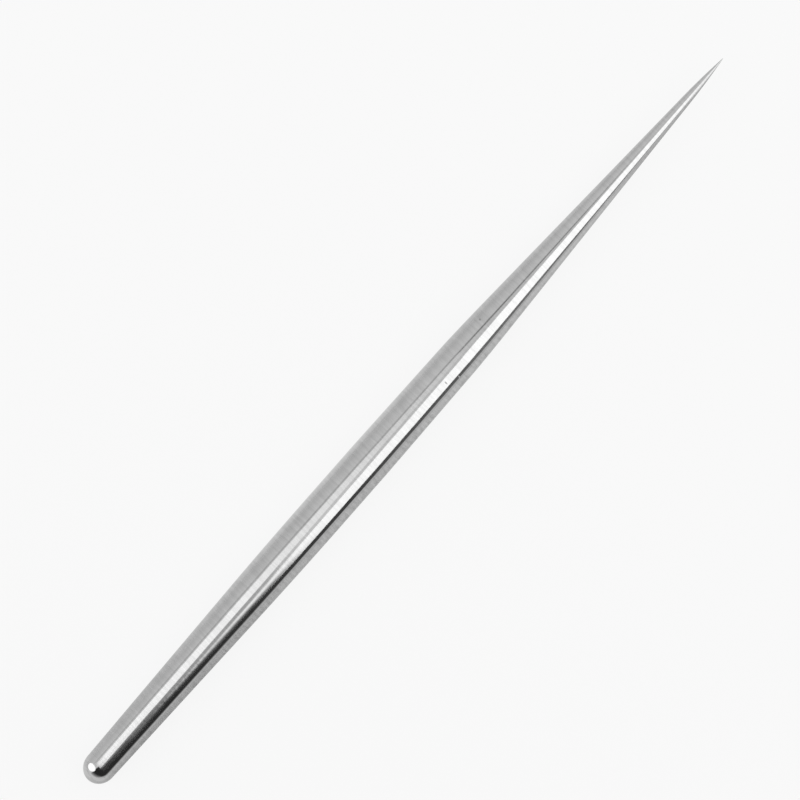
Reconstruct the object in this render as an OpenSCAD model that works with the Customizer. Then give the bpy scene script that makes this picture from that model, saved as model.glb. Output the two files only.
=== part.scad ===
// Pottery needle tool: one solid steel bar, ground to a long sharp point at one end and
// to a slim tail with a domed butt at the other, then polished all over. It has no
// separate handle, no seam and no moving part. The bar lies along X with its point
// towards +X, and the origin is on its axis in the middle of the grip. Sizes are in
// millimetres, and a station is a distance from the butt, measured along the bar.

/* [Bar] */
// Length from the butt to the tip
length = 173; // [165:1:190]
// Diameter of the bar, which the grinding leaves alone at the grip
bar_d = 8; // [7.6:0.1:9]

/* [Tail] */
// Diameter of the dome that rounds off the butt
butt_d = 5.95; // [5:0.05:6.5]
// Length of that dome
butt_len = 3.25; // [2.5:0.05:4.5]
// Length over which the tail's taper runs out into the grip
tail_blend = 22; // [10:1:30]

/* [Grip] */
// Station where the grip starts
grip_from = 64; // [56:1:66]
// Length of the grip, a true cylinder
grip_len = 10; // [8:1:14]

/* [Shoulder] */
// Length over which the shoulder's taper leaves the grip
shoulder_blend = 6; // [2:1:10]
// Station of the ring, the faint edge where shoulder and point meet
ring_at = 101.6; // [96:0.1:108]
// Diameter at the ring
ring_d = 7.44; // [7:0.02:7.5]

/* [Point] */
// Turn of the surface at the ring, in degrees
ring_turn = 1; // [0.2:0.1:1.4]
// Length over which the point bends from the ring into its straight taper
belly_len = 10; // [4:1:20]
// Length of the convex nib that ends the point
nib_len = 10; // [4:1:16]
// Slope of the nib where it meets the tip, in degrees from the bar's axis
nib_angle = 7; // [6:0.1:12]
// Radius of the tip
tip_r = 0.05; // [0.03:0.01:0.1]

/* [Hidden] */
$fn = 96;

// Cuts that a bent stretch, the butt's dome and the tip's round are drawn with
bend_steps = 12;
dome_steps = 24;
tip_steps = 4;

bar_r = bar_d / 2;
ring_r = ring_d / 2;

// The tail's straight taper touches the dome and aims at the middle of its blend. It is
// worked out where the dome is a half circle, and stretched with it along the bar.
butt_r = butt_d / 2;
stretch = butt_len / butt_r;
tail_from = grip_from - tail_blend;
tail_aim = (grip_from - tail_blend / 2 - butt_len) / stretch;
tail_turn = atan2(bar_r, tail_aim) - asin(butt_r / norm([tail_aim, bar_r]));
tail_slope = tan(tail_turn) / stretch;
tail_r = bar_r - tail_slope * tail_blend / 2;

// The shoulder falls from the grip to the ring, where the surface turns inwards.
grip_to = grip_from + grip_len;
grip_middle = grip_from + grip_len / 2;
shoulder_slope = (bar_r - ring_r) / (ring_at - grip_to - shoulder_blend / 2);
ring_slope = tan(atan(shoulder_slope) + ring_turn);

// The point's straight taper takes up what the belly and the nib leave of its fall.
taper_from = ring_at + belly_len;
nib_from = length - nib_len;
nib_run = nib_len - tip_r * (1 - sin(nib_angle));
nib_slope = tan(nib_angle);
bent_fall = (ring_slope * belly_len + nib_slope * nib_run) / 2;
taper_slope = (ring_r - tip_r * cos(nib_angle) - bent_fall)
    / (nib_from - taper_from + (belly_len + nib_run) / 2);
taper_r = ring_r - (ring_slope + taper_slope) * belly_len / 2;
nib_r = taper_r - taper_slope * (nib_from - taper_from);

// Points [station, radius] of a stretch whose slope changes evenly from one value to
// another. A slope is the fall of the radius along the bar.
function bend(station, radius, run, slope_a, slope_b) = [
    for (i = [0 : bend_steps])
        let (part = i / bend_steps, slope = slope_a + (slope_b - slope_a) * part / 2)
            [station + run * part, radius - slope * run * part]
];

// Points [station, radius] of a rounded end, over angles about its centre that are
// counted from the direction of the butt
function dome(centre, len, radius, angle_a, angle_b, steps) = [
    for (i = [0 : steps])
        let (angle = angle_a + (angle_b - angle_a) * i / steps)
            [centre - len * cos(angle), radius * sin(angle)]
];

// Half outline of the bar, from the butt to the tip
outline = concat(
    dome(butt_len, butt_len, butt_r, 0, 90 - tail_turn, dome_steps),
    bend(tail_from, tail_r, tail_blend, -tail_slope, 0),
    bend(grip_to, bar_r, shoulder_blend, 0, shoulder_slope),
    bend(ring_at, ring_r, belly_len, ring_slope, taper_slope),
    bend(nib_from, nib_r, nib_run, taper_slope, nib_slope),
    dome(length - tip_r, tip_r, tip_r, 90 + nib_angle, 180, tip_steps)
);

// The whole tool: the outline turned about the bar's axis, which is laid along X
module needle() {
    color("silver")
        translate([-grip_middle, 0, 0])
            rotate([0, 90, 0])
                rotate_extrude()
                    polygon([for (point = outline) [point[1], point[0]]]);
}

needle();
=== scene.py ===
"""A pottery needle tool: one polished steel bar, lying on a pale table in soft studio light."""

import math

import bpy
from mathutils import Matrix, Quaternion, Vector


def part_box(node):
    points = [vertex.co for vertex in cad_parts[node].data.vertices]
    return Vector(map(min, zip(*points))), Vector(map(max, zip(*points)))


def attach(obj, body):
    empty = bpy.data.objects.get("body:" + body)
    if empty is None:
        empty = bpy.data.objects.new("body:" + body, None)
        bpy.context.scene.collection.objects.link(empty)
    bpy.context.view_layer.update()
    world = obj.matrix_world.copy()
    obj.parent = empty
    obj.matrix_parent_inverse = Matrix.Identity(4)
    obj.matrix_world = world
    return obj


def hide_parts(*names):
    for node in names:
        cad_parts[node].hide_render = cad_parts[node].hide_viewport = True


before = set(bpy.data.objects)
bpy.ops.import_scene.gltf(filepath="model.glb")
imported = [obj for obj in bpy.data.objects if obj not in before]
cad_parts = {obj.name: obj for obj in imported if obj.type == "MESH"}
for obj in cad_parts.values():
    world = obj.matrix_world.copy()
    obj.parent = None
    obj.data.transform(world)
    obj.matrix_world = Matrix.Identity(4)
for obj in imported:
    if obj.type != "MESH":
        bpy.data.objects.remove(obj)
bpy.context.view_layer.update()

# ---------------------------------------------------------------------------------------
# The needle. One solid bar of stainless steel, turned to a domed butt, a slim tail, a
# cylindrical grip and a long sharp point, with a faint ring where the last taper starts.
# It is ground and then buffed by hand as it spins, so its finest marks run round it.

mm = 0.001

# Driving sizes in millimetres. A station is a distance from the butt, along the bar.
low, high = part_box("needle")
length = (high.x - low.x) / mm
bar_r = high.z / mm
butt_r = 2.975
butt_len = 3.25
tail_blend = 22.0
grip_from = 64.0
grip_len = 10.0
shoulder_blend = 6.0
ring_at = 101.6
ring_r = 3.72
ring_turn = math.radians(1.0)
ring_ease = 1.2
belly_len = 10.0
nib_len = 10.0
nib_angle = math.radians(7.0)
tip_r = 0.05

# Slopes of the straight stretches, as radius gained or lost per unit of length.
grip_to = grip_from + grip_len
stretch = butt_len / butt_r
tail_aim = (grip_from - tail_blend / 2 - butt_len) / stretch
tail_turn = math.atan2(bar_r, tail_aim) - math.asin(butt_r / math.hypot(tail_aim, bar_r))
tail_slope = math.tan(tail_turn) / stretch
shoulder_slope = (bar_r - ring_r) / (ring_at - grip_to - shoulder_blend / 2)
ring_slope = math.tan(math.atan(shoulder_slope) + ring_turn)
nib_slope = math.tan(nib_angle)
nib_run = nib_len - tip_r * (1 - math.sin(nib_angle))
taper_from = ring_at + belly_len
nib_from = length - nib_len
bent_fall = (ring_slope * belly_len + nib_slope * nib_run) / 2
straight_fall = ring_r - tip_r * math.cos(nib_angle) - bent_fall
taper_slope = straight_fall / (nib_from - taper_from + (belly_len + nib_run) / 2)
eased_slope = ring_slope + (taper_slope - ring_slope) * ring_ease / 2 / belly_len

# The outline, from the middle of the butt to the tip, as (station, radius).
dome_steps = 40
dome_turn = math.pi / 2 - tail_turn
outline = []
for step in range(dome_steps + 1):
    angle = dome_turn * step / dome_steps
    outline.append((butt_len * (1 - math.cos(angle)), butt_r * math.sin(angle)))

# Each stretch is (where it ends, slope at its start, slope at its end).
stretches = [
    (grip_from - tail_blend, tail_slope, tail_slope),
    (grip_from, tail_slope, 0.0),
    (grip_to, 0.0, 0.0),
    (grip_to + shoulder_blend, 0.0, -shoulder_slope),
    (ring_at - ring_ease / 2, -shoulder_slope, -shoulder_slope),
    (ring_at + ring_ease / 2, -shoulder_slope, -eased_slope),
    (taper_from, -eased_slope, -taper_slope),
    (nib_from, -taper_slope, -taper_slope),
    (nib_from + nib_run, -taper_slope, -nib_slope),
]
longest_step = 0.5
fewest_steps = 8
for end, slope_a, slope_b in stretches:
    start, radius = outline[-1]
    run = end - start
    steps = max(fewest_steps, math.ceil(run / longest_step))
    for step in range(1, steps + 1):
        part = step / steps
        slope = slope_a + (slope_b - slope_a) * part / 2
        outline.append((start + run * part, radius + slope * run * part))

# The tip is rounded, and stops a hair short of the solid's own.
tip_steps = 6
tip_spare = 0.002
for step in range(1, tip_steps + 1):
    angle = math.pi / 2 + nib_angle + (math.pi / 2 - nib_angle) * step / tip_steps
    outline.append((length - tip_spare - tip_r - tip_r * math.cos(angle), tip_r * math.sin(angle)))
outline = [(low.x + station * mm, radius * mm) for station, radius in outline]

# The outline is drawn as a row of edges from one corner, and spun round the axis.
bpy.ops.object.select_all(action="DESELECT")
bpy.ops.mesh.primitive_plane_add(size=mm)
bar = bpy.context.object
bar.name = "polished_bar"
bar.data.name = "polished_bar"
bpy.ops.object.mode_set(mode="EDIT")
bpy.ops.mesh.merge(type="CENTER")
bpy.ops.transform.translate(value=(outline[0][0], 0, 0))
for (x, radius), (next_x, next_radius) in zip(outline, outline[1:]):
    move = (next_x - x, 0, next_radius - radius)
    bpy.ops.mesh.extrude_region_move(TRANSFORM_OT_translate={"value": move})
facets = 160
merge_gap = 5e-8
bpy.ops.mesh.select_all(action="SELECT")
bpy.ops.mesh.spin(steps=facets, angle=2 * math.pi, center=(0, 0, 0), axis=(1, 0, 0))
bpy.ops.mesh.select_all(action="SELECT")
bpy.ops.mesh.remove_doubles(threshold=merge_gap)
bpy.ops.mesh.normals_make_consistent(inside=False)
bpy.ops.object.mode_set(mode="OBJECT")
bpy.ops.object.shade_smooth()

# Grinding by hand leaves the bar a few thousandths of a millimetre off round. The hollows
# only go inwards, and they fade out towards the point, where the steel is thinnest.
hollow_depth = 0.010
hollow_span = 4.0
thinned_from = 150.0
group = bar.vertex_groups.new(name="ground_by_hand")
for corner in bar.data.vertices:
    station = (corner.co.x - low.x) / mm
    weight = min(1.0, (length - station) / (length - thinned_from))
    group.add([corner.index], max(0.0, weight), "REPLACE")
hollows = bpy.data.textures.new("grinding_hollows", "CLOUDS")
hollows.noise_basis = "IMPROVED_PERLIN"
hollows.noise_scale = hollow_span * mm
hollows.noise_depth = 1
hollowing = bar.modifiers.new("grinding_hollows", "DISPLACE")
hollowing.texture = hollows
hollowing.texture_coords = "LOCAL"
hollowing.mid_level = 1.0
hollowing.strength = hollow_depth * mm
hollowing.vertex_group = group.name
bpy.context.view_layer.objects.active = bar
bpy.ops.object.modifier_apply(modifier=hollowing.name)


def add_node(tree, kind, inputs, stops=(), **settings):
    """Adds a node, sets its settings, and gives each named input a value or a link. A ramp gets
    its grey stops, each a position and a level."""
    made = tree.nodes.new(kind)
    for name, value in settings.items():
        setattr(made, name, value)
    for name, value in inputs.items():
        if isinstance(value, bpy.types.NodeSocket):
            tree.links.new(value, made.inputs[name])
        else:
            made.inputs[name].default_value = value
    for index, (at, level) in enumerate(stops):
        stop = made.color_ramp.elements[index] if index < 2 else made.color_ramp.elements.new(at)
        stop.position = at
        stop.color = [level] * 3 + [1]
    return made


def linear(colour):
    """Turns an sRGB hex colour, such as #C0C0C0, to linear red, green, blue and alpha."""
    parts = [int(colour[at:at + 2], 16) / 255 for at in (1, 3, 5)]
    return [p / 12.92 if p <= 0.04045 else ((p + 0.055) / 1.055) ** 2.4 for p in parts] + [1.0]


def spot(tree, place, middle, reach):
    """Adds a mask, 1 in an oval round this middle and falling to 0 at this reach, both in mm."""
    shift = [-at / half for at, half in zip(middle, reach)]
    scaled = add_node(tree, "ShaderNodeMapping", {
        "Vector": place, "Location": shift, "Scale": [1 / (half * mm) for half in reach]})
    away = add_node(tree, "ShaderNodeVectorMath", {0: scaled.outputs["Vector"]}, operation="LENGTH")
    return add_node(tree, "ShaderNodeMapRange", {
        "Value": away.outputs["Value"], "From Min": 1.0, "From Max": 0.5}).outputs["Result"]


# Stainless steel, buffed on a wheel while it spins: a grey mirror, crossed by fine marks that
# run round the bar. Real marks are some 0.02 mm apart, too fine to show, so they are drawn
# coarser. A faint cloudiness, in patches a few millimetres wide, comes from uneven pressure.
mark_gap = 0.45
mark_reach = 5.0
mark_depth = 0.0012
mark_dark = "#AFAFAF"
mark_light = "#CFCFCF"
cloud_span = 6.0
gloss_best = 0.085
gloss_worst = 0.115
steel = bpy.data.materials.new("buffed_stainless_steel")
steel.use_nodes = True
tree = steel.node_tree
tree.nodes.clear()
place = add_node(tree, "ShaderNodeTexCoord", {}).outputs["Object"]
stretched = add_node(tree, "ShaderNodeMapping", {
    "Vector": place,
    "Scale": (1 / (mark_gap * mm), 1 / (mark_reach * mm), 1 / (mark_reach * mm)),
})
marks = add_node(tree, "ShaderNodeTexNoise", {
    "Vector": stretched.outputs["Vector"], "Scale": 1.0, "Detail": 2.0, "Roughness": 0.65})
clouds = add_node(tree, "ShaderNodeTexNoise", {
    "Vector": place, "Scale": 1 / (cloud_span * mm), "Detail": 2.0})
shades = add_node(tree, "ShaderNodeMix", {
    "Factor": marks.outputs["Fac"], "A": linear(mark_dark), "B": linear(mark_light),
}, data_type="RGBA")
gloss = add_node(tree, "ShaderNodeMapRange", {
    "Value": clouds.outputs["Fac"], "From Min": 0.3, "From Max": 0.7,
    "To Min": gloss_best, "To Max": gloss_worst})

# A few small marks catch the eye: two scratches too dull to mirror, and a small pit.
scratch_dullness = 0.5
pit_grey = "#9C9C9C"
nick = spot(tree, place, (27.19, -1.15, 3.58), (0.18, 0.45, 0.6))
tick = spot(tree, place, (29.59, -2.28, 2.97), (0.16, 0.5, 0.6))
pit = spot(tree, place, (39.77, 1.80, 2.94), (0.23, 0.28, 0.5))
scratched = add_node(tree, "ShaderNodeMath", {0: nick, 1: tick}, operation="MAXIMUM")
dulled = add_node(tree, "ShaderNodeMath", {
    0: scratched.outputs[0], 1: scratch_dullness, 2: gloss.outputs["Result"],
}, operation="MULTIPLY_ADD")
pitted = add_node(tree, "ShaderNodeMix", {
    "Factor": pit, "A": shades.outputs["Result"], "B": linear(pit_grey)}, data_type="RGBA")

# The side facing -Y is a little darker, in streaks round the bar.
dark_streak_gap = 0.6
dark_streak_reach = 2.5
dark_streak_from = -1.6
dark_streak_full = -3.0
dark_streak_most = 0.6
dark_streak_grey = "#969696"
place_parts = add_node(tree, "ShaderNodeSeparateXYZ", {"Vector": place})
minus_y_side = add_node(tree, "ShaderNodeMapRange", {
    "Value": place_parts.outputs["Y"], "From Min": dark_streak_from * mm, "From Max": dark_streak_full * mm})
drawn_out = add_node(tree, "ShaderNodeMapping", {
    "Vector": place,
    "Scale": (1 / (dark_streak_gap * mm), 1 / (dark_streak_reach * mm), 1 / (dark_streak_reach * mm)),
})
streaks = add_node(tree, "ShaderNodeTexNoise", {
    "Vector": drawn_out.outputs["Vector"], "Scale": 1.0, "Detail": 2.0})
streak_strength = add_node(tree, "ShaderNodeMapRange", {
    "Value": streaks.outputs["Fac"], "From Min": 0.45, "From Max": 0.75, "To Max": dark_streak_most})
dark_streaks = add_node(tree, "ShaderNodeMath", {
    0: streak_strength.outputs["Result"], 1: minus_y_side.outputs["Result"]}, operation="MULTIPLY")
streaked = add_node(tree, "ShaderNodeMix", {
    "Factor": dark_streaks.outputs[0], "A": pitted.outputs["Result"], "B": linear(dark_streak_grey),
}, data_type="RGBA")

# The wheel skipped a little where the tail starts to thicken, and left it uneven on one side.
skip_gap = 0.7
skip_depth = 0.006
skipped = spot(tree, place, (-44.5, -1.0, 3.3), (9.0, 1.0, 1.6))
lumps = add_node(tree, "ShaderNodeTexNoise", {
    "Vector": place, "Scale": 1 / (skip_gap * mm), "Detail": 1.0})
skips = add_node(tree, "ShaderNodeMath", {
    0: lumps.outputs["Fac"], 1: skipped}, operation="MULTIPLY")
uneven = add_node(tree, "ShaderNodeBump", {
    "Height": skips.outputs[0], "Distance": skip_depth * mm, "Strength": 1.0})
relief = add_node(tree, "ShaderNodeBump", {
    "Height": marks.outputs["Fac"], "Distance": mark_depth * mm, "Strength": 1.0,
    "Normal": uneven.outputs["Normal"]})
grain = add_node(tree, "ShaderNodeTangent", {}, direction_type="RADIAL", axis="X")
shader = add_node(tree, "ShaderNodeBsdfPrincipled", {
    "Base Color": streaked.outputs["Result"],
    "Metallic": 1.0,
    "Roughness": dulled.outputs[0],
    "Anisotropic": 0.4,
    "Anisotropic Rotation": 0.25,
    "Tangent": grain.outputs["Tangent"],
    "Normal": relief.outputs["Normal"],
})
add_node(tree, "ShaderNodeOutputMaterial", {"Surface": shader.outputs["BSDF"]})
bar.data.materials.append(steel)

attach(bar, "root")
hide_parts("needle")

# ---------------------------------------------------------------------------------------
# The table, a pale plain top that the grip rests on. Seen by the camera it is lifted to
# near white, and the steel mirrors it greyer, with painted shade darkest beside the tail and the
# point.

table_z = low.z
table_size = 8
table_grey = "#D0D0D0"
table_white = "#FDFDFD"
bpy.ops.object.select_all(action="DESELECT")
bpy.ops.mesh.primitive_plane_add(size=table_size, location=(0, 0, table_z))
table = bpy.context.object
table.name = "table"
pale = bpy.data.materials.new("matt_white_board")
pale.use_nodes = True
tree = pale.node_tree
tree.nodes.clear()
matt = add_node(tree, "ShaderNodeBsdfDiffuse", {"Color": linear(table_grey)})
glow = add_node(tree, "ShaderNodeEmission", {"Color": linear(table_white), "Strength": 1.0})
place = add_node(tree, "ShaderNodeTexCoord", {}).outputs["Object"]
split = add_node(tree, "ShaderNodeSeparateXYZ", {"Vector": place})

# The share of that lift that the steel sees changes along the bar and across it, which paints
# shade and light on the table as the steel mirrors it: one side is painted shaded and the other
# lit. Each ramp spans this far to both sides of the grip.
reach = 0.1
far_share = 0.42
along_bar = add_node(tree, "ShaderNodeMapRange", {
    "Value": split.outputs["X"], "From Min": -reach, "From Max": reach}).outputs["Result"]
shaded_side = add_node(tree, "ShaderNodeValToRGB", {"Fac": along_bar}, stops=[
    (0.0, 0.8), (0.1, 0.75), (0.15, 0.4), (0.22, 0.14), (0.35, 0.32), (0.43, 0.55),
    (0.58, 0.60), (0.63, 0.73), (0.84, 0.8), (0.92, 0.3)])
lit_side = add_node(tree, "ShaderNodeValToRGB", {"Fac": along_bar}, stops=[
    (0.0, 1.0), (0.15, 0.8), (0.18, 0.48), (0.25, 0.5), (0.34, 0.7), (0.5, 0.95),
    (0.58, 0.95), (0.65, 0.7)])
across_bar = add_node(tree, "ShaderNodeMapRange", {
    "Value": split.outputs["Y"], "From Min": -reach, "From Max": reach}).outputs["Result"]
# Painted shadow: close beside the bar on its shaded side, the mirrored table is darker still.
close = add_node(tree, "ShaderNodeValToRGB", {"Fac": across_bar}, stops=[(0.43, 1.0), (0.46, 0.65)])
far = add_node(tree, "ShaderNodeValToRGB", {"Fac": across_bar}, stops=[(0.56, 0.0), (0.68, 1.0)])
opposite = add_node(tree, "ShaderNodeValToRGB", {"Fac": across_bar}, stops=[
    (0.48, 0.0), (0.52, 1.0)])
shaded = add_node(tree, "ShaderNodeMath", {
    0: shaded_side.outputs["Color"], 1: close.outputs["Color"]}, operation="MULTIPLY")
lit = add_node(tree, "ShaderNodeMix", {
    "Factor": far.outputs["Color"], "A": lit_side.outputs["Color"], "B": [far_share] * 3 + [1.0],
}, data_type="RGBA")
share = add_node(tree, "ShaderNodeMix", {
    "Factor": opposite.outputs["Color"], "A": shaded.outputs[0], "B": lit.outputs["Result"],
}, data_type="RGBA")

# The camera sees most of the lift, and the rest lets the bar's shadow show.
camera_share = 0.9
path = add_node(tree, "ShaderNodeLightPath", {})
mirrored = add_node(tree, "ShaderNodeMath", {
    0: path.outputs["Is Glossy Ray"], 1: path.outputs["Is Transmission Ray"]}, operation="ADD")
dimmed = add_node(tree, "ShaderNodeMath", {
    0: mirrored.outputs[0], 1: share.outputs["Result"]}, operation="MULTIPLY")
lift = add_node(tree, "ShaderNodeMath", {
    0: path.outputs["Is Camera Ray"], 1: camera_share, 2: dimmed.outputs[0],
}, operation="MULTIPLY_ADD")
lifted = add_node(tree, "ShaderNodeMixShader", {
    0: lift.outputs[0],
    1: matt.outputs[0],
    2: glow.outputs[0],
})
add_node(tree, "ShaderNodeOutputMaterial", {"Surface": lifted.outputs[0]})
table.data.materials.append(pale)

# ---------------------------------------------------------------------------------------
# The light: a pale tent, with soft panels and black flags close above the bar, which the
# polish mirrors as its long bright and dark streaks.

wall_level = 0.74
side_gain = 0.01
end_gain = 0.18
roof_gain = 0.14
world = bpy.data.worlds.new("tent")
bpy.context.scene.world = world
world.use_nodes = True
tree = world.node_tree
tree.nodes.clear()
way = add_node(tree, "ShaderNodeTexCoord", {})
split = add_node(tree, "ShaderNodeSeparateXYZ", {"Vector": way.outputs["Generated"]})
ends = add_node(tree, "ShaderNodeMath", {
    0: split.outputs["X"], 1: split.outputs["X"]}, operation="MULTIPLY")
sides = add_node(tree, "ShaderNodeMath", {
    0: split.outputs["Y"], 1: side_gain, 2: wall_level}, operation="MULTIPLY_ADD")
walls = add_node(tree, "ShaderNodeMath", {
    0: ends.outputs[0], 1: end_gain, 2: sides.outputs[0]}, operation="MULTIPLY_ADD")
roof = add_node(tree, "ShaderNodeMapRange", {
    "Value": split.outputs["Z"], "From Min": 0.2, "From Max": 0.8, "To Max": roof_gain})
tent = add_node(tree, "ShaderNodeMath", {
    0: walls.outputs[0], 1: roof.outputs[0]}, operation="ADD")
sky = add_node(tree, "ShaderNodeBackground", {"Color": tent.outputs[0], "Strength": 1.0})
add_node(tree, "ShaderNodeOutputWorld", {"Surface": sky.outputs[0]})


# A panel's corners needn't be square, so it is cut up, which spreads its glow evenly.
panel_cuts = 12


def panel(name, z, corners, stops, along="X", soft=None):
    """Adds a level panel at this height. Its corners are left low, right low, left high and right
    high, in plan. Its glow runs through the stops along X or Y, each a share of the panel and a
    level, and each edge named in soft fades in over its share of the panel."""
    bpy.ops.object.select_all(action="DESELECT")
    bpy.ops.mesh.primitive_plane_add(size=1)
    made = bpy.context.object
    made.name = name
    for corner, (x, y) in zip(made.data.vertices, corners):
        corner.co = (x, y, z)
    bpy.ops.object.mode_set(mode="EDIT")
    bpy.ops.mesh.subdivide(number_cuts=panel_cuts)
    bpy.ops.object.mode_set(mode="OBJECT")
    glowing = bpy.data.materials.new(name)
    glowing.use_nodes = True
    tree = glowing.node_tree
    tree.nodes.clear()
    place = add_node(tree, "ShaderNodeTexCoord", {})
    across = add_node(tree, "ShaderNodeSeparateXYZ", {"Vector": place.outputs["UV"]})
    brightest = max(level for at, level in stops)
    level = add_node(tree, "ShaderNodeValToRGB", {"Fac": across.outputs[along]}, stops=[
        (at, level / brightest) for at, level in stops])
    surface = add_node(tree, "ShaderNodeEmission", {
        "Color": level.outputs["Color"], "Strength": brightest}).outputs[0]
    edges = {
        "left": ("X", 0.0, 1.0),
        "right": ("X", 1.0, -1.0),
        "low": ("Y", 0.0, 1.0),
        "high": ("Y", 1.0, -1.0),
    }
    for edge, share in (soft or {}).items():
        axis, start, inward = edges[edge]
        solid = add_node(tree, "ShaderNodeMapRange", {
            "Value": across.outputs[axis], "From Min": start, "From Max": start + inward * share})
        clear = add_node(tree, "ShaderNodeBsdfTransparent", {})
        surface = add_node(tree, "ShaderNodeMixShader", {
            0: solid.outputs["Result"], 1: clear.outputs[0], 2: surface}).outputs[0]
    add_node(tree, "ShaderNodeOutputMaterial", {"Surface": surface})
    made.data.materials.append(glowing)
    made.visible_camera = False


# The panel overhead hangs under a dark seam and its own housing, and dims towards the point.
panel_z = 0.348
seam_z = panel_z + 0.004
housing_z = panel_z + 0.006
panel("overhead_panel", panel_z,
      [(-0.1003, -0.076), (0.085, 0.026), (-0.1003, 0.228), (0.085, 0.107)],
      [(0.0, 2.4), (0.04, 1.95), (0.08, 1.68), (0.25, 1.64), (0.4, 1.42), (0.6, 1.28),
       (0.7, 1.10), (1.0, 0.95)],
      soft={"right": 0.35, "low": 0.1})
panel("overhead_seam", seam_z,
      [(-0.125, 0.315), (0.125, 0.022), (-0.125, 0.415), (0.125, 0.122)],
      [(0.0, 0.53), (0.60, 0.53), (0.72, 0.36), (0.78, 0.12), (0.86, 0.12), (1.0, 0.35)],
      soft={"low": 0.5, "high": 0.5})
panel("overhead_housing", housing_z,
      [(-0.094, -0.160), (0.130, -0.100), (-0.094, 0.050), (0.130, 0.030)],
      [(0.0, 0.08), (0.08, 0.48), (0.18, 0.72), (0.26, 1.02), (0.4, 0.98), (0.5, 0.87),
       (1.0, 0.83)])

# A large soft box stands to one side, and its wing dims towards the butt.
wing_z = panel_z + 0.002
panel("side_softbox", panel_z,
      [(-0.036, -0.512), (0.40, -0.72), (-0.036, -0.128), (0.40, 0.18)],
      [(0.0, 1.80), (0.20, 1.80), (0.25, 1.87), (0.40, 1.87), (0.5, 1.55), (1.0, 1.5)])
panel("softbox_wing", wing_z,
      [(-0.088, -0.52), (-0.034, -0.50), (-0.090, -0.04), (-0.034, -0.03)],
      [(0.0, 0.07), (0.25, 0.18), (0.375, 0.4), (0.6, 1.5), (0.68, 1.5), (0.78, 0.64),
       (1.0, 0.58)],
      along="Y", soft={"left": 0.55})

# Two flags just above it give the steel its black edge. The front one pales towards the point.
flag_z = panel_z + 0.012
panel("black_flag_left", flag_z,
      [(-1.35, -1.1), (-0.10, -2.7), (-1.35, 0.36), (-0.10, 0.08)],
      [(0.0, 0.033), (1.0, 0.033)],
      soft={"left": 0.7, "low": 0.58, "high": 0.02})
panel("black_flag_front", flag_z,
      [(-0.10, -1.72), (0.60, -2.15), (-0.10, -0.13), (0.60, -0.30)],
      [(0.0, 0.05), (0.13, 0.075), (0.19, 0.12), (0.26, 0.25), (0.40, 0.25), (0.46, 0.6),
       (0.52, 1.3), (1.0, 1.3)],
      soft={"low": 0.25})

# The lamp at the butt end is oval and leans, and it hangs lower than the panels.
lamp_way = Vector((-0.566, 0.612, 0.530))
lamp_far = 0.30
lamp_half_wide = math.radians(19.6)
lamp_half_tall = math.radians(31.5)
lamp_lean = math.radians(-33.0)
lamp_facets = 48
lamp_level = 2.0
butt_middle = Vector((low.x + butt_len * mm, 0, 0))
lamp_turn = lamp_way.to_track_quat("Z", "Y") @ Quaternion((0, 0, 1), lamp_lean)
bpy.ops.object.select_all(action="DESELECT")
bpy.ops.mesh.primitive_circle_add(vertices=lamp_facets, radius=lamp_far, fill_type="NGON",
                                  location=butt_middle + lamp_way.normalized() * lamp_far,
                                  rotation=lamp_turn.to_euler())
bpy.ops.transform.resize(value=(math.tan(lamp_half_wide), math.tan(lamp_half_tall), 1),
                         orient_type="LOCAL")
lamp = bpy.context.object
lamp.name = "butt_lamp"
lamp_glow = bpy.data.materials.new("butt_lamp")
lamp_glow.use_nodes = True
tree = lamp_glow.node_tree
tree.nodes.clear()
light = add_node(tree, "ShaderNodeEmission", {"Strength": lamp_level})
add_node(tree, "ShaderNodeOutputMaterial", {"Surface": light.outputs[0]})
lamp.data.materials.append(lamp_glow)
lamp.visible_camera = False

# ---------------------------------------------------------------------------------------
# The camera looks straight down at the table, turned so that the point goes up and right.

view_turn = math.radians(-48.67)
view_middle = (0.01943, 0.00304)
view_height = 1.600
long_lens = 400
camera_data = bpy.data.cameras.new("camera")
camera_data.lens = long_lens
camera_data.sensor_width = 36
camera = bpy.data.objects.new("camera", camera_data)
camera.location = (*view_middle, view_height)
camera.rotation_euler = (0, 0, view_turn)
bpy.context.scene.collection.objects.link(camera)
bpy.context.scene.camera = camera
bpy.context.scene.view_settings.view_transform = "Standard"
